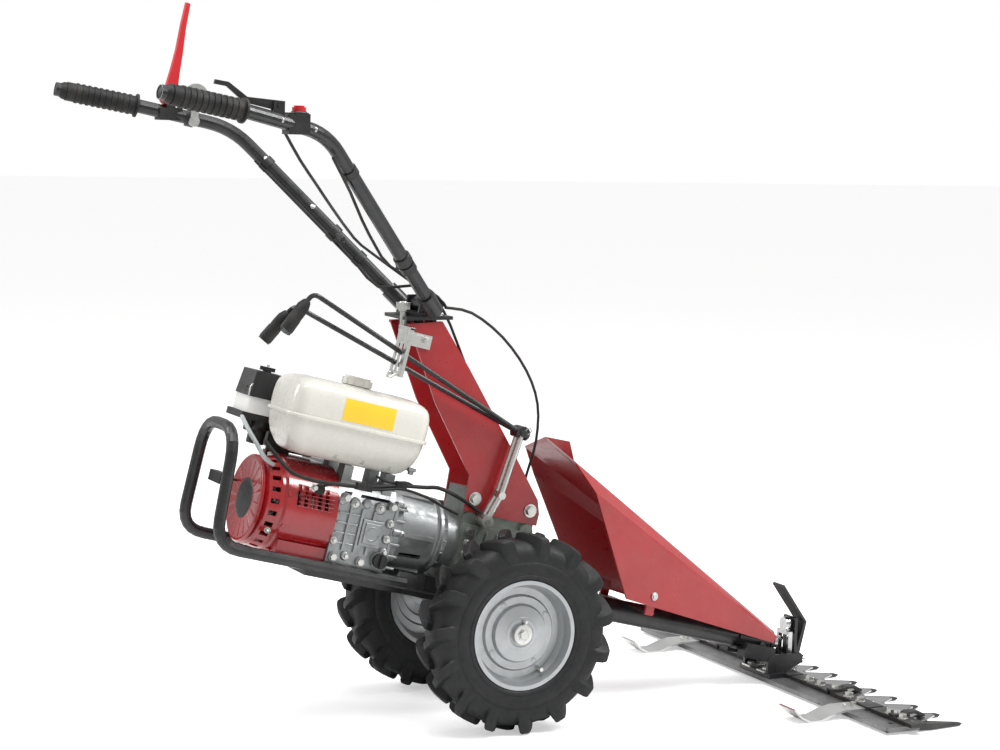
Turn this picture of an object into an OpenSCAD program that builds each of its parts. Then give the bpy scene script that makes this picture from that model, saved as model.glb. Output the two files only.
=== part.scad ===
// Two-wheel walk-behind brush mower with a front sickle bar.
// +X is the mowing direction, +Y the operator's left, +Z up. The ground is Z = 0.

/* [Wheels] */
// Rolling radius over the tread lugs
wheel_r = 203; // [198:1:206]
// Distance between the wheel centre planes
track = 414; // [410:2:430]
// Width of a tyre
tyre_w = 100; // [90:2:104]
// Radius of the rim flange
rim_r = 111; // [108:1:112]
// Lugs on each side of a tyre
lug_count = 15; // [12:1:18]

/* [Cutter bar] */
// Length of the flat cutter bar
bar_l = 1024; // [1000:4:1060]
// Distance between fingers
finger_pitch = 76.2; // [76:0.1:78]
// Reach of the finger tips ahead of the axle
finger_tip_x = 892; // [886:1:898]
// Diameter of the divider holes at the bar ends
divider_hole_d = 10.5; // [8:0.5:12]
// Knife travel to each side of its middle position
knife_travel = 25; // [10:1:26]

/* [Body] */
// Nose-down pitch of the machine standing on its wheels and bar, in degrees
pitch = 13.8; // [13:0.1:14.5]
// Outside diameter of the drive tube
tube_d = 50; // [46:1:52]
// Height of the crankshaft above the axle, square to the body
crank_z = 135; // [133:1:137]
// Height of the drive tube above the axle, square to the body
pto_z = 60; // [58:1:61]
// Diameter of the base and bumper tube
base_tube_d = 24; // [20:1:25]

/* [Handlebar] */
// Diameter of the handlebar tubes
handle_d = 28; // [24:1:28]
// Diameter of the rubber grips
grip_d = 38; // [34:1:40]
// Half of the distance between the ends of the grips
handle_reach_y = 334; // [320:1:340]

/* [Hidden] */
$fn = 48;

fit = 0.05;              // radial clearance of a running fit
tyre_in = track / 2 - tyre_w / 2;
handle_r = handle_d / 2;
grip_r = grip_d / 2;

// Handlebar points of the left side, level frame
pivot = [-128, 0, 846];
tube_start = [-142, 80, 846];
tube_bend = [-448, 259, 1189];
grip_start = [-626, 315, 1228];
tube_end = [-797, handle_reach_y, 1259];
grip_dir = unit(tube_end - grip_start);
tube_rear_x = tube_end[0] - handle_r * sqrt(1 - grip_dir[0] * grip_dir[0]);

// The frame's origin is under the middle of the machine's box
shift_x = -(finger_tip_x + tube_rear_x) / 2;

// Gear levers and rods, pitched frame
selector_pivot = [-60, 195];
selector_ball = [-28, 386];
selector_len = norm(selector_ball - selector_pivot);
selector_lean = atan2(selector_ball[0] - selector_pivot[0], selector_ball[1] - selector_pivot[1]);
rod_y_right = -84;
rod_y_left = -65;

// Cutter bar, level frame
bar_x0 = 696;
bar_x1 = 776;
bar_z0 = 6;
bar_z1 = 16;
guard_half = 73;
guard_side = 3;          // double guards on each side of the middle one
bolt_x = 760;
bolt_dy = 22;
lever_x0 = 768;
lever_x1 = 778;
lever_z = 122;
pto_end = 752;           // front end of the drive shaft, pitched frame

// Colours
red = [0.70, 0.06, 0.06];
black = [0.09, 0.09, 0.10];
cast = [0.58, 0.59, 0.56];
zinc = [0.78, 0.79, 0.78];
cream = [0.88, 0.87, 0.80];
silver = [0.72, 0.73, 0.74];
steel = [0.50, 0.51, 0.52];

// ---------- frames and helpers ----------

module level() {
  translate([shift_x, 0, 0]) children();
}

module pitched() {
  translate([shift_x, 0, wheel_r]) rotate([0, pitch, 0]) children();
}

module both_sides() {
  children();
  mirror([0, 1, 0]) children();
}

function unit(v) = v / norm(v);
function mirror_y(p) = [for (v = p) [v[0], -v[1], v[2]]];

// Cylinder from point a to point b
module rod(a, b, r, fn = 48) {
  v = b - a;
  h = norm(v);
  translate(a) rotate([0, acos(v[2] / h), atan2(v[1], v[0])]) cylinder(r = r, h = h, $fn = fn);
}

// Cylinder along +X or +Y
module along_x(x0, x1, r, y = 0, z = 0, fn = 48) {
  translate([x0, y, z]) rotate([0, 90, 0]) cylinder(r = r, h = x1 - x0, $fn = fn);
}

module along_y(y0, y1, r, x = 0, z = 0, fn = 48) {
  translate([x, y0, z]) rotate([-90, 0, 0]) cylinder(r = r, h = y1 - y0, $fn = fn);
}

// Box from its lowest to its highest corner
module box(lo, hi) {
  translate(lo) cube(hi - lo);
}

// Outline in the XZ plane made into a plate from y0 to y1
module plate_xz(y0, y1, points) {
  translate([0, y1, 0]) rotate([90, 0, 0]) linear_extrude(y1 - y0) polygon(points);
}

// Turned shape about the X axis, outline in [x, r]
module turned_x(points, y = 0, z = 0, fn = 64) {
  translate([0, y, z]) rotate([0, 90, 0]) rotate([0, 0, 90])
    rotate_extrude($fn = fn) polygon([for (p = points) [p[1], p[0]]]);
}

// Turned shape about the Y axis, outline in [y, r]
module turned_y(points, fn = 72) {
  rotate([-90, 0, 0]) rotate_extrude($fn = fn) polygon([for (p = points) [p[1], p[0]]]);
}

// Hexagon bolt head, standing on the XY plane
module hex_head(across, h) {
  cylinder(d = across / cos(30), h = h, $fn = 6);
}

// Spur gear about the X axis
module gear_x(x0, x1, r, teeth, y = 0, z = 0) {
  step = 360 / teeth;
  function tip(a, rad) = [rad * cos(a), rad * sin(a)];
  points = [for (i = [0 : teeth - 1]) each [
    tip(step * i, r - 4), tip(step * (i + 0.3), r - 4),
    tip(step * (i + 0.42), r), tip(step * (i + 0.88), r)]];
  translate([x0, y, z]) rotate([0, 90, 0]) linear_extrude(x1 - x0) polygon(points);
}

// Route with rounded corners: each corner starts and ends `cut` from its point
function bezier(a, b, c, u) = (1 - u) * (1 - u) * a + 2 * u * (1 - u) * b + u * u * c;
function rounded(p, cuts, steps = 5) = concat(
  [p[0]],
  [for (i = [1 : len(p) - 2]) let (cut = cuts[i - 1]) for (k = [0 : steps])
    bezier(p[i] + cut * unit(p[i - 1] - p[i]), p[i], p[i] + cut * unit(p[i + 1] - p[i]), k / steps)],
  [p[len(p) - 1]]);

// Smooth curve through points, with `steps` rings to a stretch
function spline_point(a, b, c, d, u) =
  0.5 * (2 * b + (c - a) * u + (2 * a - 5 * b + 4 * c - d) * u * u
    + (3 * b - a - 3 * c + d) * u * u * u);
function spline(p, steps) = let (n = len(p) - 1) concat(
  [for (i = [0 : n - 1]) for (k = [0 : steps - 1])
    spline_point(p[max(i - 1, 0)], p[i], p[i + 1], p[min(i + 2, n)], k / steps)],
  [p[n]]);

function tangent(p, i) = unit(p[min(i + 1, len(p) - 1)] - p[max(i - 1, 0)]);
function across(v, t) = unit(v - t * (v * t));
function first_across(t) = across(abs(t[2]) < 0.9 ? [0, 0, 1] : [1, 0, 0], t);

// Round bar swept along a route, or a tube when `wall` is more than 0
module tube_along(p, r, sides = 12, wall = 0) {
  n = len(p);
  dirs = [for (i = 0, s = first_across(tangent(p, 0)); i < n;
    i = i + 1, s = i < n ? across(s, tangent(p, i)) : s) s];
  function ring(i, r) = let (t = tangent(p, i), a = dirs[i], b = cross(t, a))
    [for (k = [0 : sides - 1]) p[i] + r * (cos(360 * k / sides) * a + sin(360 * k / sides) * b)];
  outside = [for (i = [0 : n - 1]) each ring(i, r)];
  inside = wall > 0 ? [for (i = [0 : n - 1]) each ring(i, r - wall)] : [];
  inner = n * sides;
  last = (n - 1) * sides;
  walls = [for (i = [0 : n - 2]) for (k = [0 : sides - 1]) let (m = (k + 1) % sides)
    [i * sides + k, (i + 1) * sides + k, (i + 1) * sides + m, i * sides + m]];
  bore = wall > 0 ? [for (f = walls) [inner + f[3], inner + f[2], inner + f[1], inner + f[0]]] : [];
  ends = wall > 0
    ? [for (k = [0 : sides - 1]) let (m = (k + 1) % sides) each [
        [k, m, inner + m, inner + k],
        [last + m, last + k, inner + last + k, inner + last + m]]]
    : [[for (k = [0 : sides - 1]) k], [for (k = [sides - 1 : -1 : 0]) last + k]];
  polyhedron(concat(outside, inside), concat(walls, bore, ends), convexity = 6);
}

// ---------- gearbox ----------

gear_x0 = -98;
gear_x1 = 75;
gear_half = 56;
wall = 9;
shaft_r = 12;
plate_y = 46;            // inner face of the column plates
plate_t = 4;
axle_r = 16;

module gearbox_case() {
  color(cast) pitched() difference() {
    union() {
      along_y(-gear_half, gear_half, 74, fn = 64);
      box([gear_x0, -gear_half, 0], [gear_x1, gear_half, 188]);
      box([gear_x0, -plate_y, 187], [68, plate_y, 250]);
      for (x = [-82, 51]) along_y(-gear_half, gear_half, 15, x, 189);
      along_y(-95, -40, 5, selector_pivot[0], selector_pivot[1]);
      for (z = [30, 70, 110, 150]) box([gear_x1 - 1, -40, z], [gear_x1 + 7, 40, z + 5]);
    }
    along_y(-gear_half - 1, gear_half - wall, 64, fn = 64);
    box([gear_x0 + wall, -gear_half - 1, 20], [gear_x1 - wall, gear_half - wall, 176]);
    along_y(0, gear_half + 1, axle_r + 5);
    along_x(gear_x0 - 1, 0, shaft_r + 5, z = crank_z);
    along_x(0, gear_x1 + 9, shaft_r + 5, z = pto_z);
  }
}

module gearbox_cover() {
  t = 10;
  color(cast) pitched() difference() {
    union() {
      along_y(-gear_half - t, -gear_half, 74, fn = 64);
      box([gear_x0, -gear_half - t, 0], [gear_x1, -gear_half, 180]);
      for (x = [-84, 61]) for (z = [20, 90, 166]) along_y(-gear_half - t - 4, -gear_half, 9, x, z);
    }
    along_y(-gear_half - t - 5, 0, axle_r + 5);
  }
}

// The two tubes that carry the axle, with their bearing bushes inside
module axle_housings() {
  bush = axle_r + fit;
  outer = track / 2 - 62;
  color(cast) pitched() {
    difference() {
      turned_y([[-outer, bush], [-outer, 27], [-90, 29], [-78, 42], [-66.2, 42], [-66.2, 20.8],
        [-54, 20.8], [-54, bush]], 48);
    }
    turned_y([[47.2, bush], [47.2, 20.8], [56.2, 20.8], [56.2, 42], [68, 42], [80, 29],
      [outer, 27], [outer, bush]], 48);
  }
}

module clutch_housing() {
  color(cast) pitched() {
    difference() {
      turned_x([[-262, 78], [-262, 92], [-244, 92], [-240, 86], [-160, 80], [-125, 62], [-98.2, 60],
        [-98.2, 12.5], [-112, 12.5], [-112, 50], [-128, 54], [-166, 72], [-250, 78]], z = crank_z);
      for (a = [-60 : 30 : 60]) translate([-205, 0, crank_z]) rotate([a + 180, 0, 0])
        box([-25, -5, 60], [25, 5, 100]);
    }
    for (a = [30 : 60 : 330]) translate([0, 0, crank_z]) rotate([a, 0, 0])
      box([-243, -4, 79], [-165, 4, 88]);
  }
}

// ---------- engine ----------

case_x0 = -390;
case_x1 = -262.2;
case_y0 = -90;
case_y1 = 84;
case_z0 = 28.2;
case_z1 = 212;
fan_r = 98;
fan_x0 = -505;
starter_x0 = -550;
head_x = -338;
case_bolts = [[-378, 64], [-318, 64], [-378, 184], [-275, 184]];

module crankcase() {
  color(cast) pitched() difference() {
    union() {
      translate([case_x1, 0, 0]) rotate([0, -90, 0]) linear_extrude(case_x1 - case_x0) polygon([
        [case_z0, case_y0], [case_z0, case_y1], [150, case_y1], [case_z1, 50], [case_z1, -62],
        [176, case_y0]]);
      for (x = [-378, -285]) for (y = [-70, 10]) box([x - 10, y, 200], [x + 10, y + 30, 245.8]);
      for (x = [-364 : 26 : -300]) box([x, case_y0 - 5, 80], [x + 5, case_y0 + 2, 168]);
      for (p = case_bolts) along_y(-96, -80, 9, p[0], p[1]);
      along_y(-98, -80, 17, -280, 74);
    }
    box([case_x0 + 12, case_y0 + 10, 42], [case_x1 - 14, case_y1 - 10, 195]);
    along_x(case_x0 - 2, case_x1 + 2, 16, z = crank_z);
    along_y(-99, -80, 10, -280, 74);
  }
}

module cylinder_head() {
  color(cast) pitched() difference() {
    translate([head_x, 60, 138]) rotate([-65, 0, 0]) {
      box([-38, -36, 0], [38, 36, 120]);
      for (i = [0 : 8]) box([-50, -45, 32 + 9 * i], [50, 45, 35 + 9 * i]);
      box([-44, -40, 116], [44, 40, 138]);
    }
    box([-420, -20, 0], [-260, case_y1 + 0.2, 300]);
  }
}

module fan_cover() {
  color(red) pitched() {
    difference() {
      turned_x([[fan_x0, 88], [fan_x0, fan_r - 4], [fan_x0 + 5, fan_r], [case_x0 - 0.3, fan_r],
        [case_x0 - 0.3, 90], [fan_x0 + 8, 90], [fan_x0 + 8, 88]], z = crank_z);
      for (i = [0 : 4]) box([-480 + 15 * i, -110, 150], [-472 + 15 * i, -80, 190]);
    }
    difference() {
      union() {
        box([fan_x0 + 10, 30, crank_z + 70], [case_x0 - 0.3, 108, crank_z + 97]);
        box([fan_x0 + 10, -84, crank_z - 97], [case_x0 - 0.3, -40, crank_z - 60]);
      }
      along_x(fan_x0 + 2, case_x0 + 1, 94, z = crank_z, fn = 64);
    }
  }
}

module starter_cover() {
  color(red) pitched() difference() {
    turned_x([[starter_x0, 0], [starter_x0, 34], [starter_x0 + 4, 38], [starter_x0 + 4, 80],
      [starter_x0 + 12, 90], [fan_x0 - 6, 94], [fan_x0 - 0.2, 94], [fan_x0 - 0.2, 88],
      [starter_x0 + 16, 84], [starter_x0 + 9, 78], [starter_x0 + 9, 0]], z = crank_z);
    for (i = [0 : 17]) translate([0, 0, crank_z]) rotate([20 * i, 0, 0])
      box([starter_x0 - 2, -4.5, 45], [starter_x0 + 20, 4.5, 76]);
    for (i = [0 : 23]) translate([0, 0, crank_z]) rotate([15 * i + 7, 0, 0])
      box([starter_x0 + 18, -5, 80], [fan_x0 - 10, 5, 99]);
    along_x(starter_x0 - 2, fan_x0, 4.5, y = 62, z = crank_z + 26);
  }
}

tank_x = [-540, -232];
tank_y = [-110, 55];
tank_seam = 324;
tank_top = 402;
cap_at = [-385, -22];

// Rounded rectangle slab, inset on all sides
module tank_slab(inset, r, z, h) {
  hull() for (x = [tank_x[0] + inset + r, tank_x[1] - inset - r])
    for (y = [tank_y[0] + inset + r, tank_y[1] - inset - r])
      translate([x, y, z]) cylinder(r = r, h = h, $fn = 28);
}

module fuel_tank() {
  color(cream) pitched() {
    hull() {
      tank_slab(6, 34, tank_seam, 44);
      tank_slab(12, 34, 378, 10);
      tank_slab(26, 30, 392, 7);
    }
    tank_slab(0, 38, tank_seam - 4, 6);
    hull() {
      tank_slab(6, 34, tank_seam - 6, 4);
      tank_slab(14, 30, 276, 4);
      tank_slab(32, 26, 246, 4);
    }
    translate([cap_at[0], cap_at[1], 396]) cylinder(r = 22, h = 6);
  }
}

module fuel_cap() {
  color(cream) pitched() translate([cap_at[0], cap_at[1], tank_top]) {
    difference() {
      cylinder(r = 31, h = 13);
      for (i = [0 : 11]) rotate([0, 0, 30 * i]) translate([33, 0, -1]) cylinder(r = 4, h = 15, $fn = 16);
    }
    translate([0, 0, 13]) cylinder(r = 26, h = 4);
  }
}

module oil_plug() {
  color(black) pitched() {
    along_y(-110, -98.2, 15, -280, 74, 24);
    along_y(-98.3, -82, 9.6, -280, 74);
    box([-283, -116, 61], [-277, -109, 87]);
  }
}

module carburetor() {
  color(black) pitched() {
    box([-492, 84.5, 238], [-446, 128, 290]);
    along_x(-446, -392, 16, 106, 250);
    box([-572, 70, 284], [-470, 158, 297.8]);
    along_y(78, 134, 8, -470, 262, 24);
  }
}

module air_cleaner() {
  color(cream) pitched() {
    hull() for (x = [-551, -498]) for (y = [82, 146])
      translate([x, y, 298]) cylinder(r = 13, h = 33, $fn = 28);
  }
}

module air_cleaner_cover() {
  color(black) pitched() {
    hull() for (x = [-551, -498]) for (y = [82, 146])
      translate([x, y, 331.2]) cylinder(r1 = 16, r2 = 10, h = 52, $fn = 28);
    translate([-524, 114, 382]) cylinder(r = 9, h = 7);
    box([-540, 111, 386], [-508, 117, 394]);
  }
}

module muffler() {
  color(steel) pitched() difference() {
    union() {
      box([-400, 72, 268], [-286, 146, 356]);
      along_x(-360, -340, 16, 128, 262);
      for (i = [0 : 4]) box([-402, 90 + 10 * i, 280], [-284, 94 + 10 * i, 346]);
      along_y(140, 158, 11, -310, 330);
    }
    along_y(144, 159, 8, -310, 330);
  }
}

module spark_plug() {
  color(black) pitched() translate([head_x, 60, 138]) rotate([-65, 0, 0]) translate([18, 12, 138.2]) {
    cylinder(r = 10, h = 8, $fn = 6);
    cylinder(r = 7, h = 22);
    translate([0, 0, 20]) cylinder(r = 11, h = 22);
  }
}

module engine_plate() {
  color(black) pitched() difference() {
    union() {
      box([-430, -100, 18], [-112, 100, 28]);
      box([-150, -60, 28], [-112, 60, 60]);
    }
    for (x = [-395, -290]) for (y = [-70, 70]) translate([x, y, 0]) cylinder(r = 5, h = 40);
    along_x(-400, -100, 88, z = crank_z + 4, fn = 64);
  }
}

base_y = 104;
base_z = 28.4 + base_tube_d / 2;
bumper_route = [
  [-215, base_y, base_z], [-628, base_y, base_z], [-636, 86, 268],
  [-636, -86, 268], [-628, -base_y, base_z], [-215, -base_y, base_z]];

module bumper() {
  color(black) pitched() tube_along(rounded(bumper_route, [52, 64, 64, 52], 6), base_tube_d / 2, 14, 2);
}

module crankshaft() {
  color(steel) pitched() {
    along_x(-512, -60, shaft_r, z = crank_z);
    for (x = [-360, -318]) along_x(x - 8, x + 8, 40, z = crank_z);
    gear_x(-84, -62, 37, 18, 0, crank_z);
    along_x(-240, -175, 60, z = crank_z);
  }
}

module flywheel() {
  color(steel) pitched() difference() {
    union() {
      along_x(-452, -430, 80, z = crank_z, fn = 64);
      for (i = [0 : 15]) translate([0, 0, crank_z]) rotate([22.5 * i, 0, 0])
        box([-484, -2, 50], [-451, 2, 82]);
      along_x(-488, -451, 30, z = crank_z);
      along_x(-500, -484, 42, z = crank_z);
    }
    along_x(-505, -400, shaft_r, z = crank_z);
    along_x(-502, -490, 36, z = crank_z);
  }
}

handle_at = [-598, 62, crank_z + 26];

module starter_handle() {
  color(black) pitched() {
    translate(handle_at) rotate([0, -90, 0]) {
      translate([0, 0, -14.5]) cylinder(r1 = 9, r2 = 12, h = 12, $fn = 32);
      translate([0, -18, 0]) cube([22, 64, 18], center = true);
    }
    along_x(-592, -520, 2.5, handle_at[1], handle_at[2], 24);
  }
}

// ---------- column ----------

column_outline = [
  [-98, 205], [74, 205], [74, 230], [63, 258], [-31, 356], [-161, 487], [-246, 568],
  [-318, 547], [-218, 404], [-104, 276]];

module column_plate() {
  pitched() difference() {
    union() {
      plate_xz(-plate_y - plate_t, -plate_y, column_outline);
      plate_xz(-plate_y - plate_t, -plate_y + 8, [[-246, 568], [-318, 547], [-317, 542], [-245, 563]]);
    }
    for (x = [-80, 51]) along_y(-60, -40, 5.5, x, 233);
  }
}

module column_plate_right() {
  color(red) column_plate();
}

module column_plate_left() {
  color(red) mirror([0, 1, 0]) column_plate();
}

head_z = 817.4;

module column_head() {
  color(black) level() difference() {
    union() {
      box([-186, -56, head_z], [-84, 56, head_z + 7]);
      for (x = [-170, -112]) box([x, -20, 792], [x + 8, 20, head_z + 1]);
    }
    translate([-135, 0, 780]) cylinder(r = 10 + fit, h = 60);
  }
}

module frame_bolts() {
  color(zinc) {
    pitched() both_sides() {
      for (x = [-80, 51]) translate([x, -plate_y - plate_t - 0.2, 233]) rotate([90, 0, 0]) {
        cylinder(r = 14, h = 2.5);
        hex_head(18, 10);
      }
    }
    pitched() for (x = [-84, 61]) for (z = [20, 90, 166]) translate([x, -gear_half - 14.2, z])
      rotate([90, 0, 0]) hex_head(13, 7);
    pitched() for (p = case_bolts) translate([p[0], -96.2, p[1]]) rotate([90, 0, 0]) hex_head(12, 6);
  }
}

// ---------- gear selection ----------

selector_bend = [-41, 253];

module selector(y) {
  pitched() {
    difference() {
      union() {
        rod([selector_pivot[0], y, selector_pivot[1]], [selector_bend[0], y, selector_bend[1]], 6.5);
        rod([selector_bend[0], y, selector_bend[1]], [selector_ball[0], y, selector_ball[1]], 6);
        along_y(y - 7, y + 7, 8, selector_bend[0], selector_bend[1]);
        along_y(y - 9, y + 9, 13, selector_pivot[0], selector_pivot[1]);
      }
      along_y(y - 20, y + 20, 5 + fit, selector_pivot[0], selector_pivot[1]);
    }
    along_y(y - 9, y + 9, 7.5, selector_ball[0], selector_ball[1]);
  }
}

module selector_right() {
  color(zinc) {
    selector(rod_y_right);
  }
}

module selector_left() {
  color(zinc) {
    selector(rod_y_left - 0.5);
  }
}

// The rod runs from its eye on the lever to the gate, on to a bend above and a grip below it
module gear_rod(y, bend, grip_low) {
  eye = [selector_ball[0], y, selector_ball[1]];
  start = eye + [-22, 0, 6];
  pitched() {
    difference() {
      along_y(y - 7.4, y + 7.4, 15, eye[0], eye[2]);
      along_y(y - 20, y + 20, 7.5 + fit, eye[0], eye[2]);
      rotate_about(eye) box([-9.5, -7.5, -30], [9.5, 7.5, 0]);
    }
    tube_along(rounded([eye + [-13, 0, 3.5], bend, grip_low], [16], 4), 5, 10);
    rod(bend + 0.35 * (grip_low - bend), grip_low, 12.5, 32);
  }
}

module rotate_about(p) {
  translate(p) rotate([0, selector_lean, 0]) children();
}

module gear_rod_right() {
  color(black) gear_rod(rod_y_right, [-548, rod_y_right, 560], [-592, rod_y_right - 14, 474]);
}

module gear_rod_left() {
  color(black) gear_rod(rod_y_left, [-572, rod_y_left, 528], [-612, rod_y_left + 14, 446]);
}

// Slotted guide plate for both rods
module gate_bracket() {
  color(zinc) pitched() difference() {
    union() {
      box([-336, -110, 440], [-332, -50.2, 540]);
      box([-336, -54.2, 506], [-262, -50.2, 534]);
    }
    for (y = [rod_y_right, rod_y_left]) box([-340, y - 7, 450], [-330, y + 7, 512]);
  }
}

// ---------- drive tube and hood ----------

tube_r = tube_d / 2;
tube_x0 = gear_x1 + 7.2;
tube_x1 = 738;

module drive_tube() {
  color(black) pitched() difference() {
    union() {
      along_x(tube_x0, tube_x1, tube_r, z = pto_z);
      along_x(tube_x0, tube_x0 + 9, 46, z = pto_z);
      for (a = [45 : 90 : 315]) translate([0, 0, pto_z]) rotate([a, 0, 0])
        box([tube_x0 + 8, -2.5, 20], [tube_x0 + 60, 2.5, 34]);
      box([345, -96, pto_z + 16], [375, 96, pto_z + 21]);
      along_x(tube_x1 - 8, tube_x1, 27.5, z = pto_z);
    }
    along_x(tube_x0 - 1, tube_x1 - 30, tube_r - 5, z = pto_z);
    along_x(tube_x1 - 31, tube_x1 + 1, shaft_r + fit, z = pto_z);
  }
}

module drive_shaft() {
  color(steel) pitched() {
    along_x(-88, pto_end - 2, shaft_r, z = pto_z);
    gear_x(-84, -62, 37, 18, 0, pto_z);
    along_x(tube_x1 + 1, pto_end, 18, z = pto_z);
    along_x(pto_end - 1, pto_end + 18.7, 5, 0, pto_z + 12.5);
  }
}

// Corners of the left half of the folded hood, pitched frame
hood_nose = [746, 24, 74];
hood_top = [742, 0.2, 86];
hood_outer = [
  hood_nose, [744, 26, 60], hood_top, [140, 145, 304], [285, 122, 100],
  [90, 115, 356], [72, 0.2, 389], [744, 0.2, 60], [285, 0.2, 100]];
hood_reach = 1.22;       // the hollow runs out through the open rear

function from(a, p) = a + hood_reach * (p - a);
function drop(p) = [p[0], p[1], p[2] - 60];
function past_middle(p) = [p[0], -12, p[2]];
hood_inner = [
  hood_nose - [8, 0, 0], drop(hood_outer[1]), past_middle(hood_top - [8, 0, 0]),
  from(hood_nose, hood_outer[3]), drop(from(hood_nose, hood_outer[4])),
  from(hood_nose, hood_outer[5]), past_middle(from(hood_top, hood_outer[6])),
  past_middle(drop(hood_outer[7])), past_middle(drop(from(hood_nose, hood_outer[8])))];

module solid_hull(points) {
  hull() for (p = points) translate(p) cube(0.01);
}

module hood_half() {
  difference() {
    solid_hull(hood_outer);
    translate([0, -3, -2.6]) solid_hull(hood_inner);
    along_x(640, 760, 28.2, z = pto_z);
  }
  // Lug that sits against the bracket of the drive tube
  box([348, 96.3, 74], [368, 103, 112]);
}

module hood_left() {
  color(red) pitched() hood_half();
}

module hood_right() {
  color(red) pitched() mirror([0, 1, 0]) hood_half();
}

// ---------- axle and wheels ----------

hex_af = 22;
hub_r = 21;

module hex_bar(y0, y1, af) {
  rotate([-90, 0, 0]) translate([0, 0, y0]) cylinder(d = af / cos(30), h = y1 - y0, $fn = 6);
}

module axle_shaft() {
  color(steel) pitched() {
    along_y(-track / 2 + 60, track / 2 - 60, axle_r);
    both_sides() hex_bar(track / 2 - 60.5, track / 2 + 40, hex_af);
  }
}

module worm_wheel() {
  color([0.75, 0.6, 0.3]) pitched() difference() {
    rotate([0, 0, 90]) gear_x(-14, 14, 45, 30);
    along_y(-20, 20, axle_r);
  }
}

// One rim with its flanges, dished disc and hub, centred on Y = 0, outside face at -Y
module rim() {
  w = tyre_w / 2;
  r = rim_r;
  turned_y([[-w + 6, r - 8], [-w + 6, r], [-w + 10, r], [-w + 10, r - 5.5], [-w + 26, r - 10],
    [-12, r - 16], [12, r - 16], [w - 26, r - 10], [w - 10, r - 5.5], [w - 10, r], [w - 6, r],
    [w - 6, r - 8], [w - 26, r - 13], [12, r - 19], [-12, r - 19], [-w + 26, r - 13]]);
  difference() {
    union() {
      turned_y([[-10, r - 18], [-10, r - 33], [-16, r - 37], [-16, r - 51], [-24, r - 55], [-28, 34],
        [-28, 19], [-25, 19], [-25, 33], [-21, r - 57.5], [-13, r - 53.5], [-13, r - 39],
        [-7, r - 35], [-7, r - 18]]);
      along_y(-36, 34, hub_r);
    }
    hex_bar(-60, 60, hex_af + 2 * fit);
    along_y(-30, 10, 4, 62, -62);
  }
}

module at_wheels() {
  translate([0, -track / 2, 0]) children();
  mirror([0, 1, 0]) translate([0, -track / 2, 0]) children();
}

module rims() {
  color(silver) pitched() at_wheels() rim();
}

carcass_r = wheel_r - 14;

module lugs() {
  intersection() {
    difference() {
      along_y(-tyre_w / 2, tyre_w / 2, wheel_r, fn = 96);
      along_y(-tyre_w, tyre_w, carcass_r - 12, fn = 96);
    }
    union() for (i = [0 : lug_count - 1]) for (side = [-1, 1])
      rotate([0, 360 / lug_count * (i + (side > 0 ? 0.5 : 0)), 0])
        rotate([0, 0, side * 30]) translate([-9, side > 0 ? -4 : -66, -wheel_r - 2])
          cube([18, 70, 30]);
  }
}

module tyre() {
  w = tyre_w / 2;
  turned_y([[-w + 12.4, rim_r - 5], [-w + 10.4, rim_r + 0.4], [-w + 4, rim_r + 1], [-w, rim_r + 22],
    [-w, rim_r + 44], [-w + 5, carcass_r - 14], [-w + 16, carcass_r - 3], [-16, carcass_r],
    [16, carcass_r], [w - 16, carcass_r - 3], [w - 5, carcass_r - 14], [w, rim_r + 44],
    [w, rim_r + 22], [w - 4, rim_r + 1], [w - 10.4, rim_r + 0.4], [w - 12.4, rim_r - 5],
    [w - 20, rim_r - 5], [w - 9, rim_r + 24], [w - 9, rim_r + 42], [w - 18, carcass_r - 16],
    [0, carcass_r - 12], [-w + 18, carcass_r - 16], [-w + 9, rim_r + 42], [-w + 9, rim_r + 24],
    [-w + 20, rim_r - 5]]);
  lugs();
}

module tyres() {
  color(black) pitched() at_wheels() tyre();
}

// Bolts that clamp the hubs to the hexagon axle, and the tyre valves
module wheel_pins() {
  color(zinc) pitched() at_wheels() {
    translate([0, -33, hub_r + 0.1]) cylinder(r = 2.8, h = 5, $fn = 32);
    translate([0, -33, hub_r + 3]) hex_head(10, 5);
    along_y(-32, -3, 3.95, 62, -62);
  }
}

// ---------- cutter bar ----------

guard_y = [for (i = [-guard_side : guard_side]) 2 * i * finger_pitch];
clip_y = [for (i = [-6, -3, 3, 6]) i * finger_pitch];
knife_z0 = 16.4;
knife_z1 = 19.4;

module cutter_bar() {
  color(steel) level() difference() {
    box([bar_x0, -bar_l / 2, bar_z0], [bar_x1, bar_l / 2, bar_z1]);
    for (y = [-1, 1]) translate([bar_x0 + 31, y * (bar_l / 2 - 34), 0]) cylinder(d = divider_hole_d, h = 40);
  }
}

// Seven cast guards with two fingers each
module guard_fingers() {
  color(black) level() for (y = guard_y) translate([0, y, 0]) {
    box([bolt_x - 18, -guard_half, bar_z1 + 0.1], [bolt_x + 20, guard_half, bar_z1 + 8]);
    for (f = [-0.5, 0.5]) translate([0, f * finger_pitch, 0]) {
      box([bar_x1 + 0.3, -13, 5], [bolt_x + 20, 13, bar_z1 + 1]);
      intersection() {
        plate_xz(-13, 13, finger_side);
        linear_extrude(20) polygon(finger_plan);
      }
    }
  }
}

// One finger from the side and from above
finger_side = [
  [bolt_x + 19, 3], [bolt_x + 50, 2], [finger_tip_x - 6, 2], [finger_tip_x, 4],
  [finger_tip_x, 7], [finger_tip_x - 8, 9], [bolt_x + 50, 15.4], [bolt_x + 19, 16]];
finger_plan = [
  [bolt_x + 18, -12.9], [bolt_x + 50, -12.9], [finger_tip_x - 6, -4], [finger_tip_x + 1, -2],
  [finger_tip_x + 1, 2], [finger_tip_x - 6, 4], [bolt_x + 50, 12.9], [bolt_x + 18, 12.9]];

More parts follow.
